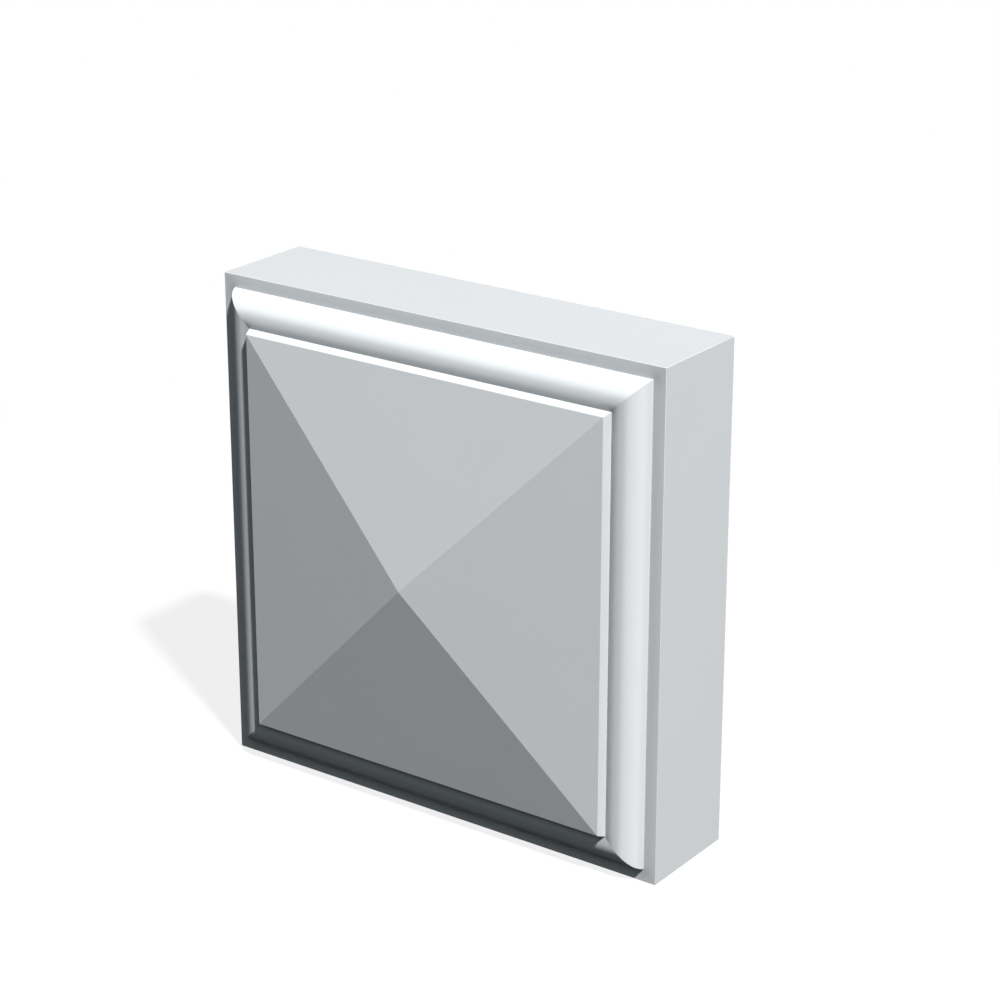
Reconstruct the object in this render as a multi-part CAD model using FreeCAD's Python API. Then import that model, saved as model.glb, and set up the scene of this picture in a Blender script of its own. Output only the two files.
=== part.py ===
# Corner rosette block: a square trim block that covers the corner where two casings meet.
# Its face carries a bead, mitred round all four sides, and inside it a low pyramid on a drafted wall.
# It is moulded in one piece, with straight sides for the casings to butt against and a flat back.
#
# Frame: origin at the centre of the back face, +Z up, the face looks out along -Y. Sizes in millimetres.

import FreeCAD, Part

import math
import os

# Driving dimensions
block_width = 114.3  # side of the square block, 4 1/2 in
block_thickness = 25.4  # back face to the flat margin, 1 in
margin_width = 2.95  # flat border left outside the bead
bead_radius = 5.35  # round of the bead
bead_crest = 4.28  # top of the bead above the margin
quirk_depth = 0.35  # fall from the bead's crest to the quirk, where the panel's wall starts
wall_rise = 1.97  # quirk to the panel's edge
wall_draft = 19.0  # lean of the panel's wall, in degrees
pyramid_rise = 7.2  # panel's edge to the point
arris_radius = 0.12  # softening of the sharp outer edges, just enough to take the keenness off

# Heights above the margin
bead_centre_height = bead_crest - bead_radius
quirk_height = bead_crest - quirk_depth
edge_height = quirk_height + wall_rise
point_height = edge_height + pyramid_rise

# Half sizes of the square outlines, from the outside in
block_half = block_width / 2
foot_half = block_half - margin_width
bead_centre_half = foot_half - math.sqrt(bead_radius**2 - bead_centre_height**2)
quirk_half = bead_centre_half - math.sqrt(bead_radius**2 - (bead_radius - quirk_depth) ** 2)
edge_half = quirk_half - wall_rise * math.tan(math.radians(wall_draft))

side_count = 4
origin = FreeCAD.Vector(0, 0, 0)
outward = FreeCAD.Vector(0, -1, 0)
upward = FreeCAD.Vector(0, 0, 1)


def section_point(half, height):
    """A point of the half section, from its distance to the axis and its height above the margin."""
    return FreeCAD.Vector(half, -(block_thickness + height), 0)


def bead_crown():
    """The middle of the bead's arc, which runs from its foot on the margin over the crest to the quirk."""
    foot_angle = math.asin(-bead_centre_height / bead_radius)
    quirk_angle = math.acos((quirk_half - bead_centre_half) / bead_radius)
    crown_angle = (foot_angle + quirk_angle) / 2
    return section_point(
        bead_centre_half + bead_radius * math.cos(crown_angle),
        bead_centre_height + bead_radius * math.sin(crown_angle),
    )


def softened_corner(before, corner, after):
    """Start, middle and end of the arc that rounds a corner of the section to the arris radius."""
    towards_before = (before - corner).normalize()
    towards_after = (after - corner).normalize()
    inwards = (towards_before + towards_after).normalize()
    half_angle = towards_before.getAngle(towards_after) / 2
    setback = arris_radius / math.tan(half_angle)
    middle_depth = arris_radius / math.sin(half_angle) - arris_radius
    return (
        corner + towards_before * setback,
        corner + inwards * middle_depth,
        corner + towards_after * setback,
    )


def ornament_section():
    """Half section of what stands on the margin: bead, quirk, panel wall and pyramid slope."""
    axis_foot = section_point(0, 0)
    foot = section_point(foot_half, 0)
    quirk = section_point(quirk_half, quirk_height)
    edge = section_point(edge_half, edge_height)
    point = section_point(0, point_height)
    wall_top, edge_crown, slope_start = softened_corner(quirk, edge, point)
    outline = [
        Part.Arc(foot, bead_crown(), quirk),
        Part.LineSegment(quirk, wall_top),
        Part.Arc(wall_top, edge_crown, slope_start),
        Part.LineSegment(slope_start, point),
        Part.LineSegment(point, axis_foot),
        Part.LineSegment(axis_foot, foot),
    ]
    return Part.Face(Part.Wire([curve.toShape() for curve in outline]))


def mitred_round(section):
    """The solid made by running a half section along all four sides and mitring it at the corners."""
    run = section.extrude(upward * block_width)
    run.translate(upward * -block_half)
    upper_corner = FreeCAD.Vector(block_half, 0, block_half)
    lower_corner = FreeCAD.Vector(block_half, 0, -block_half)
    between_mitres = Part.Face(Part.makePolygon([origin, upper_corner, lower_corner, origin]))
    side = run.common(between_mitres.extrude(outward * (block_thickness + point_height)))
    sides = []
    for number in range(side_count):
        turned = side.copy()
        turned.rotate(origin, outward, number * 360 / side_count)
        sides.append(turned)
    return sides[0].fuse(sides[1:])


def block_body():
    """The plain block, with its long corners and front edges softened and its back edges left crisp."""
    low_corner = FreeCAD.Vector(-block_half, -block_thickness, -block_half)
    box = Part.makeBox(block_width, block_thickness, block_width, low_corner)
    soft_edges = [edge for edge in box.Edges if edge.CenterOfMass.y < -arris_radius]
    return box.makeFillet(arris_radius, soft_edges)


def rosette_block():
    """The whole block as one solid: the plain block with the ornament standing on its face."""
    return block_body().fuse(mitred_round(ornament_section())).removeSplitter().Solids[0]


os.makedirs("parts", exist_ok=True)
rosette_block().exportStep("parts/rosette_block.step")
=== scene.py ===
import math

import bpy
from mathutils import Euler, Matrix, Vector


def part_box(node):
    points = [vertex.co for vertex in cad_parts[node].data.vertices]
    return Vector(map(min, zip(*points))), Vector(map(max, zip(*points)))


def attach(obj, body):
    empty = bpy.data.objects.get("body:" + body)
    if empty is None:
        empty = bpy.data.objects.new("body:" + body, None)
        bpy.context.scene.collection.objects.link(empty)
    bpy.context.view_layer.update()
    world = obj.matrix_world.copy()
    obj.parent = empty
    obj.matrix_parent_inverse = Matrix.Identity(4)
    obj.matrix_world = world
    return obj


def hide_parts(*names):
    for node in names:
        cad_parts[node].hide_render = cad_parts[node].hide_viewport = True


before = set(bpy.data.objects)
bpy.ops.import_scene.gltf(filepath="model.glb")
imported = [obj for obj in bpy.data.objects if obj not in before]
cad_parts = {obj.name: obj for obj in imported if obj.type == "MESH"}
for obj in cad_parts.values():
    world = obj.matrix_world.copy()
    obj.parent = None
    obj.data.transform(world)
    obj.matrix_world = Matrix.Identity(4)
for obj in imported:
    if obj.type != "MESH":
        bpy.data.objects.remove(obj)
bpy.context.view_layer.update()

quarterTurn = math.pi / 2
plainWhite = (1.0, 1.0, 1.0, 1.0)


class Wire:  # one socket of a node tree, which can be used in sums
    def __init__(self, net, socket):
        self.net = net
        self.socket = socket

    def also(self, name):  # another output of the same node
        return Wire(self.net, self.socket.node.outputs[name])

    def __add__(self, other):
        return self.net.math("ADD", self, other)

    def __radd__(self, other):
        return self.net.math("ADD", other, self)

    def __sub__(self, other):
        return self.net.math("SUBTRACT", self, other)

    def __rsub__(self, other):
        return self.net.math("SUBTRACT", other, self)

    def __mul__(self, other):
        return self.net.math("MULTIPLY", self, other)

    def __rmul__(self, other):
        return self.net.math("MULTIPLY", other, self)

    def __truediv__(self, other):
        return self.net.math("DIVIDE", self, other)

    def __rtruediv__(self, other):
        return self.net.math("DIVIDE", other, self)

    def __pow__(self, other):
        return self.net.math("POWER", self, other)

    def __gt__(self, other):
        return self.net.math("GREATER_THAN", self, other)

    def __lt__(self, other):
        return self.net.math("LESS_THAN", self, other)

    def __abs__(self):
        return self.net.math("ABSOLUTE", self)


class Net:  # a node tree while it is being wired
    def __init__(self, tree):
        self.tree = tree
        tree.nodes.clear()

    def add(self, kind, settings=None, sockets=None, out=0):
        node = self.tree.nodes.new(kind)
        for name, value in (settings or {}).items():
            setattr(node, name, value)
        for key, value in (sockets or {}).items():
            self.feed(self.find(node.inputs, key), value)
        if len(node.outputs):
            return Wire(self, self.find(node.outputs, out))

    def find(self, sockets, key):
        if isinstance(key, int):
            return sockets[key]
        return next(each for each in sockets if each.name == key and each.enabled)

    def feed(self, socket, value):
        if isinstance(value, list):  # a join takes its last link first
            for each in reversed(value):
                self.feed(socket, each)
        elif isinstance(value, Wire):
            self.tree.links.new(value.socket, socket)
        else:
            socket.default_value = value

    def math(self, operation, *values):
        return self.add("ShaderNodeMath", {"operation": operation}, dict(enumerate(values)))

    def ease(self, value, near, far, atNear, atFar):  # a smooth step from one value to another
        return self.add(
            "ShaderNodeMapRange",
            {"interpolation_type": "SMOOTHSTEP"},
            {"Value": value, "From Min": near, "From Max": far, "To Min": atNear, "To Max": atFar},
        )

    def vector(self, x, y, z=0.0):
        return self.add("ShaderNodeCombineXYZ", {}, {"X": x, "Y": y, "Z": z})

    def split(self, vector):
        parts = self.add("ShaderNodeSeparateXYZ", {}, {"Vector": vector}, "X")
        return parts, parts.also("Y"), parts.also("Z")


# White primer; its colour carries a painted highlight on the bead's crown and painted shade on the
# sides, the skimmed back and the flats beside inside corners
primer = {
    "colour": (0.775, 0.80, 0.818),
    "mottle": 0.012,  # share by which the film's tone wanders
    "mottleSize": 0.022,
    "specular": 0.05,  # a dead matt film throws back very little of the room
    "roughness": 0.88,
    "roughnessDrift": 0.08,
    "flatFacing": -0.9,  # below it a point lies flat: -1 looks out of the face and 1 out of the back
    "sideFacing": -0.1,  # above it a point is on a side or the back
    "backFacing": 0.7,  # above it a point is on the back
    "paintedHighlight": 0.15,  # painted highlight: share of tone added in a band on the bead's crown
    "paintedSideShade": 0.20,  # painted shade: share of tone that the sides and the back lose
    "paintedCornerShade": {  # painted shade on what lies flat beside an inside corner: share lost, and how far
        "fromFoot": (0.22, 0.0030),
        "fromQuirk": (0.40, 0.0023),
    },
    "peelSize": 0.0011,  # orange peel of the sprayed film
    "peelHeight": 0.000012,
    "toothSize": 0.00028,  # fine tooth of a matt primer
    "toothHeight": 0.000004,
    "backRoughness": 0.94,
    "skimLength": 0.030,  # marks left where the back was skimmed flat
    "skimWidth": 0.0006,
    "skimHeight": 0.00007,
    "skimTone": 0.08,  # share by which their tone wanders
}


def noise(net, place, size, detail=2.0, roughness=0.55):
    return net.add(
        "ShaderNodeTexNoise",
        {"noise_dimensions": "3D"},
        {"Vector": place, "Scale": 1 / size, "Detail": detail, "Roughness": roughness},
        "Fac",
    )


def kept(net, name):  # a value that keepForPaintedLight stores at each point of the block
    return net.add("ShaderNodeAttribute", {"attribute_name": name}, out="Fac")


def primerMaterial(look):
    material = bpy.data.materials.new("whitePrimer")
    material.use_nodes = True
    net = Net(material.node_tree)
    place = net.add("ShaderNodeTexCoord", out="Object")
    facing = net.split(place.also("Normal"))[1]
    onFlat = facing < look["flatFacing"]
    turnedAway = facing > look["sideFacing"]
    onBack = facing > look["backFacing"]

    film = noise(net, place, look["mottleSize"], detail=3.0)
    peel = noise(net, place, look["peelSize"])
    tooth = noise(net, place, look["toothSize"], detail=1.0)
    stretched = net.add(
        "ShaderNodeMapping",
        {"vector_type": "POINT"},
        {"Vector": place, "Scale": (look["skimWidth"] / look["skimLength"], 1, 1)},
    )
    skim = noise(net, stretched, look["skimWidth"], detail=3.0)
    middle = 0.5  # of each noise

    # painted highlight and painted shade in the colour: whiter on the bead's crown, darker on the
    # sides, the back and beside inside corners
    paintedLightAndShade = 1 + kept(net, "crown") * look["paintedHighlight"] - turnedAway * look["paintedSideShade"]
    for corner, (share, reach) in look["paintedCornerShade"].items():
        paintedLightAndShade = paintedLightAndShade - net.ease(kept(net, corner), 0.0, reach, share, 0.0) * onFlat

    # tone and gloss wander a little
    tone = (
        paintedLightAndShade
        + (film - middle) * (2 * look["mottle"])
        + (peel - middle) * look["mottle"]
        + (skim - middle) * look["skimTone"] * onBack
    )
    colour = net.add(
        "ShaderNodeVectorMath",
        {"operation": "SCALE"},
        {0: look["colour"], "Scale": tone},
    )
    sprayed = look["roughness"] + (film - middle) * look["roughnessDrift"]
    roughness = sprayed + onBack * (look["backRoughness"] - sprayed)

    # orange peel on the face and sides, tooth all over, skim marks across the back
    height = (
        peel * look["peelHeight"] * (1 - onBack)
        + tooth * look["toothHeight"]
        + skim * look["skimHeight"] * onBack
    )
    surface = net.add("ShaderNodeBump", {}, {"Strength": 1.0, "Distance": 1.0, "Height": height})
    shader = net.add(
        "ShaderNodeBsdfPrincipled",
        {},
        {
            "Base Color": colour,
            "Roughness": roughness,
            "Normal": surface,
            "Specular IOR Level": look["specular"],
        },
    )
    net.add("ShaderNodeOutputMaterial", {}, {"Surface": shader})
    return material


# The block: one half section, run along four sides and mitred at the corners
block = {
    "margin": 0.00295,  # flat border outside the bead
    "beadRadius": 0.00535,
    "beadCrest": 0.00428,  # above the margin
    "quirkDepth": 0.00035,  # below the crest
    "wallRise": 0.00197,
    "wallDraft": math.radians(19),
    "pyramidRise": 0.0072,
    "arris": 0.00012,  # softens the outer edges and the panel's edge
    "highlightAngle": math.radians(50),  # middle of the painted highlight on the bead: 0 looks sideways, 90 out of the face
    "highlightFull": math.radians(14),  # to either side of it, where the painted highlight begins to fade
    "highlightEnd": math.radians(32),  # and where it has faded out
    "weld": 0.000001,  # points nearer than this become one
    "beadSteps": 48,
    "arrisSteps": 6,
    "cornerSteps": 4,
}


def halfSection(net, size):  # x is half the side of a square outline, y is the height above the back
    def line(start, end):
        ends = {"Start": net.vector(*start), "End": net.vector(*end)}
        return net.add("GeometryNodeCurvePrimitiveLine", {}, ends)

    def arc(centre, radius, begin, end, steps):
        angles = {"Start Angle": begin, "Sweep Angle": end - begin}
        bow = net.add(
            "GeometryNodeCurveArc",
            {"mode": "RADIUS"},
            {"Resolution": steps + 1, "Radius": radius, **angles},
        )
        shift = net.vector(*centre)
        return net.add("GeometryNodeTransform", {}, {"Geometry": bow, "Translation": shift})

    arris = size["arris"]
    radius = size["beadRadius"]
    draft = size["wallDraft"]
    thickness = size["thickness"]
    half = size["width"] / 2
    foot = half - size["margin"]
    beadHeight = thickness + size["beadCrest"] - radius
    beadHalf = foot - (radius**2 - (beadHeight - thickness) ** 2) ** 0.5
    quirkHeight = thickness + size["beadCrest"] - size["quirkDepth"]
    quirk = beadHalf - (radius**2 - (radius - size["quirkDepth"]) ** 2) ** 0.5
    edgeHeight = quirkHeight + size["wallRise"]
    edge = quirk - size["wallRise"] * net.math("TANGENT", draft)
    point = edgeHeight + size["pyramidRise"]

    # the panel's edge is rounded between the leaning wall and the pyramid's slope
    slope = net.math("ARCTAN2", size["pyramidRise"], edge)
    reach = arris / (1 + net.math("SINE", draft + slope))
    wallOut = (net.math("COSINE", draft), net.math("SINE", draft))
    slopeOut = (net.math("SINE", slope), net.math("COSINE", slope))
    edgeCentre = (
        edge - reach * (wallOut[0] + slopeOut[0]),
        edgeHeight - reach * (wallOut[1] + slopeOut[1]),
    )
    wallTop = (edgeCentre[0] + arris * wallOut[0], edgeCentre[1] + arris * wallOut[1])
    slopeFoot = (edgeCentre[0] + arris * slopeOut[0], edgeCentre[1] + arris * slopeOut[1])

    footAngle = net.math("ARCSINE", (thickness - beadHeight) / radius)
    quirkAngle = net.math("ARCCOSINE", (quirk - beadHalf) / radius)
    outline = [
        line((0.0, 0.0), (half, 0.0)),  # back
        line((half, 0.0), (half, thickness - arris)),  # side
        arc((half - arris, thickness - arris), arris, 0.0, quarterTurn, size["arrisSteps"]),
        line((half - arris, thickness), (foot, thickness)),  # margin
        arc((beadHalf, beadHeight), radius, footAngle, quirkAngle, size["beadSteps"]),
        line((quirk, quirkHeight), wallTop),
        arc(edgeCentre, arris, draft, quarterTurn - slope, size["arrisSteps"]),
        line(slopeFoot, (0.0, point)),
    ]
    places = {"foot": (foot, thickness), "bead": (beadHalf, beadHeight), "quirk": (quirk, quirkHeight)}
    return net.add("GeometryNodeJoinGeometry", {}, {"Geometry": outline}), places


def mitredSide(net, size, section):
    # a sheet with one row for each point of the section and one column for each stop along a side
    stops = (size["cornerSteps"] + 1) * 2
    rows = net.add("GeometryNodeAttributeDomainSize", {"component": "CURVE"}, {"Geometry": section})
    sheet = net.add("GeometryNodeMeshGrid", {}, {"Vertices X": rows, "Vertices Y": stops})
    index = net.add("GeometryNodeInputIndex")
    row = net.math("FLOOR", index / stops)
    column = index - row * stops

    def atRow(value, kind):
        return net.add(
            "GeometryNodeSampleIndex",
            {"data_type": kind, "domain": "POINT"},
            {"Geometry": section, "Value": value, "Index": row},
        )

    across, height = net.split(atRow(net.add("GeometryNodeInputPosition"), "FLOAT_VECTOR"))[:2]
    splinePoints = net.add("GeometryNodeSplineLength", out="Point Count")
    linePoints = 2  # an arc has more
    onArc = atRow(splinePoints > linePoints, "FLOAT")

    # stops run from one mitre to the next, and turn the outer corners to the arris radius
    fromMiddle = (stops - 1) / 2 - column
    hand = net.math("SIGN", fromMiddle)
    turn = (abs(fromMiddle) - 0.5) / size["cornerSteps"]  # 0 at the two middle stops, 1 on a mitre
    turnAngle = turn * (quarterTurn / 2)
    corner = net.math("MAXIMUM", size["arris"] - (size["width"] / 2 - across), 0.0)
    straight = across - corner
    mitred = net.vector(
        straight + corner * net.math("COSINE", turnAngle),
        0 - height,
        hand * (straight + corner * net.math("SINE", turnAngle)),
    )
    fields = {
        "across": across,
        "height": height,
        "onArc": onArc,
        "turn": turn,
        "rounding": corner / size["arris"],
    }
    return net.add("GeometryNodeSetPosition", {}, {"Geometry": sheet, "Position": mitred}), fields


def shadeSide(net, side, fields):  # rounds smooth, flats flat and mitres crisp
    def mean(name):  # over the points of a face or an edge
        settings = {"data_type": "FLOAT", "domain": "POINT"}
        return net.add("GeometryNodeFieldOnDomain", settings, {"Value": fields[name]})

    slack = 0.01  # for a mean that should be 0 or 1
    turned = mean("turn")
    rounded = mean("rounding")
    onCorner = (turned > slack) * (rounded > 1 - slack)
    smooth = net.math("MAXIMUM", onCorner, mean("onArc") > 1 - slack)
    side = net.add(
        "GeometryNodeSetShadeSmooth",
        {"domain": "FACE"},
        {"Geometry": side, "Shade Smooth": smooth},
    )
    onMitre = (turned > 1 - slack) * (rounded < slack)
    return net.add(
        "GeometryNodeSetShadeSmooth",
        {"domain": "EDGE"},
        {"Geometry": side, "Selection": onMitre, "Shade Smooth": False},
    )


def keepForPaintedLight(net, size, side, fields, places):  # where the painted highlight and the painted corner shade fall, stored at each point
    across = fields["across"]
    height = fields["height"]

    def away(name):
        return across - places[name][0], height - places[name][1]

    def distance(name):
        x, y = away(name)
        return (x**2 + y**2) ** 0.5

    # a band of painted highlight round the bead, at the angle given above
    x, y = away("bead")
    fromHighlight = abs(net.math("ARCTAN2", y, x) - size["highlightAngle"])
    crown = net.ease(fromHighlight, size["highlightFull"], size["highlightEnd"], 1.0, 0.0)
    onBead = (across < places["foot"][0]) * (across > places["quirk"][0])
    values = {"fromFoot": distance("foot"), "fromQuirk": distance("quirk"), "crown": crown * onBead}
    for name, value in values.items():
        side = net.add(
            "GeometryNodeStoreNamedAttribute",
            {"data_type": "FLOAT", "domain": "POINT"},
            {"Geometry": side, "Name": name, "Value": value},
        )
    return side


def fourSides(net, size, side):  # turned copies, welded along the mitres
    sideCount = 4
    copies = net.add("GeometryNodeGeometryToInstance", {}, {"Geometry": [side]})
    copies = net.add(
        "GeometryNodeDuplicateElements",
        {"domain": "INSTANCE"},
        {"Geometry": copies, "Amount": sideCount},
    )
    copies = net.add(
        "GeometryNodeRotateInstances",
        {},
        {
            "Instances": copies,
            "Rotation": net.vector(0.0, copies.also("Duplicate Index") * quarterTurn, 0.0),
            "Local Space": False,
        },
    )
    whole = net.add("GeometryNodeRealizeInstances", {}, {"Geometry": copies})
    return net.add("GeometryNodeMergeByDistance", {}, {"Geometry": whole, "Distance": size["weld"]})


def blockTree(sizes, finish):
    tree = bpy.data.node_groups.new("rosetteBlockTree", "GeometryNodeTree")
    net = Net(tree)
    sockets = {}
    for name, value in sizes.items():
        kind = "NodeSocketInt" if isinstance(value, int) else "NodeSocketFloat"
        sockets[name] = tree.interface.new_socket(name, in_out="INPUT", socket_type=kind)
    tree.interface.new_socket("Geometry", in_out="OUTPUT", socket_type="NodeSocketGeometry")
    given = net.add("NodeGroupInput")
    size = {name: given.also(name) for name in sizes}

    section, places = halfSection(net, size)
    side, fields = mitredSide(net, size, section)
    side = shadeSide(net, side, fields)
    side = keepForPaintedLight(net, size, side, fields, places)
    whole = fourSides(net, size, side)
    whole = net.add("GeometryNodeSetMaterial", {}, {"Geometry": whole, "Material": finish})
    net.add("NodeGroupOutput", {}, {"Geometry": whole})
    return tree, {name: socket.identifier for name, socket in sockets.items()}


def makeBlock(look, finish):
    low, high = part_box("rosette_block")
    relief = look["beadCrest"] - look["quirkDepth"] + look["wallRise"] + look["pyramidRise"]
    sizes = dict(look, width=high.x - low.x, thickness=high.y - low.y - relief)
    tree, identifiers = blockTree(sizes, finish)
    piece = bpy.data.objects.new("rosetteBlockDressed", bpy.data.meshes.new("rosetteBlockStart"))
    bpy.context.scene.collection.objects.link(piece)
    modifier = piece.modifiers.new("mitredSection", "NODES")
    modifier.node_group = tree
    for name, value in sizes.items():
        modifier[identifiers[name]] = value
    evaluated = piece.evaluated_get(bpy.context.evaluated_depsgraph_get())
    mesh = bpy.data.meshes.new_from_object(evaluated)
    piece.modifiers.clear()
    piece.data = mesh
    mesh.name = "rosetteBlockDressed"
    return piece


whitePrimer = primerMaterial(primer)
dressedBlock = makeBlock(block, whitePrimer)
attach(dressedBlock, "root")
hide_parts("rosette_block")
print("block:", len(dressedBlock.data.vertices), "points", len(dressedBlock.data.polygons), "faces")

# Pale floor under the block, white to the camera apart from the block's shadow
floor = {
    "size": 12.0,
    "colour": (0.94, 0.94, 0.94),
    "bounce": (0.006, 0.006, 0.006),  # what the block itself sees of it
    "shadowShare": 0.16,  # how much of the shadow the camera sees
    "shadowReach": (0.10, 0.30),  # where it fades to plain white
}


def backdropMask(net):
    path = net.add("ShaderNodeLightPath", out="Is Camera Ray")
    shown = net.math("MAXIMUM", path, path.also("Is Glossy Ray"))
    return net.math("MAXIMUM", shown, path.also("Is Transmission Ray"))


def floorMaterial(look):
    material = bpy.data.materials.new("paleFloor")
    material.use_nodes = True
    net = Net(material.node_tree)
    white = net.add("ShaderNodeEmission", {}, {"Color": plainWhite, "Strength": 1.0})
    lit = net.add("ShaderNodeBsdfDiffuse", {}, {"Color": (*look["colour"], 1)})
    x, y = net.split(net.add("ShaderNodeTexCoord", out="Object"))[:2]
    near, far = look["shadowReach"]
    fading = net.ease((x * x + y * y) ** 0.5, near, far, look["shadowShare"], 0.0)
    shown = net.add("ShaderNodeMixShader", {}, {"Fac": fading, 1: white, 2: lit})
    quiet = net.add("ShaderNodeBsdfDiffuse", {}, {"Color": (*look["bounce"], 1)})
    both = net.add("ShaderNodeMixShader", {}, {"Fac": backdropMask(net), 1: quiet, 2: shown})
    net.add("ShaderNodeOutputMaterial", {}, {"Surface": both})
    return material


def makeFloor(look):
    reach = look["size"] / 2
    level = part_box("rosette_block")[0].z
    mesh = bpy.data.meshes.new("paleFloor")
    corners = [(x * reach, y * reach, level) for x, y in ((-1, -1), (1, -1), (1, 1), (-1, 1))]
    mesh.from_pydata(corners, [], [(0, 1, 2, 3)])
    mesh.materials.append(floorMaterial(look))
    plane = bpy.data.objects.new("paleFloor", mesh)
    bpy.context.scene.collection.objects.link(plane)
    return plane


makeFloor(floor)
print("floor:", floor["size"], "m square")

# Studio: a key from the upper right, two fills, a rim lamp that rakes the right side, and a quiet room
studio = {
    "room": (0.006, 0.0065, 0.007),  # the camera sees it as white
    "lamps": {  # angles in degrees, and light is what reaches the block, in W/m2
        "key": {"azimuth": 60, "elevation": 55.5, "distance": 6.0, "diameter": 0.32, "light": 4.5},
        "frontFill": {"azimuth": 0, "elevation": 37, "distance": 5.0, "diameter": 3.0, "light": 0.365},
        "rim": {"azimuth": 145, "elevation": 2, "distance": 5.0, "diameter": 0.3, "light": 1.4},
        "backFill": {"azimuth": 210, "elevation": 0, "distance": 3.0, "diameter": 0.1, "light": 2.5},
    },
    "coolLamp": "frontFill",
    "coolTint": (0.90, 1.0, 1.07),
}


def makeRoom(look):
    world = bpy.data.worlds.new("studioRoom")
    world.use_nodes = True
    net = Net(world.node_tree)
    white = net.add("ShaderNodeBackground", {}, {"Color": plainWhite, "Strength": 1.0})
    room = net.add("ShaderNodeBackground", {}, {"Color": (*look["room"], 1), "Strength": 1.0})
    both = net.add("ShaderNodeMixShader", {}, {"Fac": backdropMask(net), 1: room, 2: white})
    net.add("ShaderNodeOutputWorld", {}, {"Surface": both})
    bpy.context.scene.world = world


def standOff(item, look, aim):  # turned towards a point and set back from it
    tilt = math.radians(90 - look["elevation"])
    item.rotation_euler = Euler((tilt, 0, math.radians(look["azimuth"])))
    item.location = aim + item.rotation_euler.to_matrix() @ Vector((0, 0, look["distance"]))


def makeLamp(name, look):
    data = bpy.data.lights.new(name, "AREA")
    data.shape = "DISK"
    data.size = look["diameter"]
    data.energy = look["light"] * math.pi * look["distance"] ** 2
    lamp = bpy.data.objects.new(name, data)
    standOff(lamp, look, Vector((0, 0, 0)))
    bpy.context.scene.collection.objects.link(lamp)


makeRoom(studio)
for lampName, lampLook in studio["lamps"].items():
    makeLamp(lampName, lampLook)
bpy.data.lights[studio["coolLamp"]].color = studio["coolTint"]
print("studio:", len(studio["lamps"]), "lamps")

# Camera at the angle of the photograph
view = {
    "azimuth": 35.88,
    "elevation": 20.91,
    "distance": 0.610,
    "aim": (0.0, -0.00195, 0.00947),
    "lens": 100.2,
    "sensorWidth": 36.0,
}


def makeCamera(look):
    data = bpy.data.cameras.new("photoCamera")
    data.lens = look["lens"]
    data.sensor_width = look["sensorWidth"]
    camera = bpy.data.objects.new("photoCamera", data)
    standOff(camera, look, Vector(look["aim"]))
    bpy.context.scene.collection.objects.link(camera)
    bpy.context.scene.camera = camera


makeCamera(view)
bpy.context.scene.view_settings.view_transform = "Standard"
print("camera:", view["lens"], "mm lens")
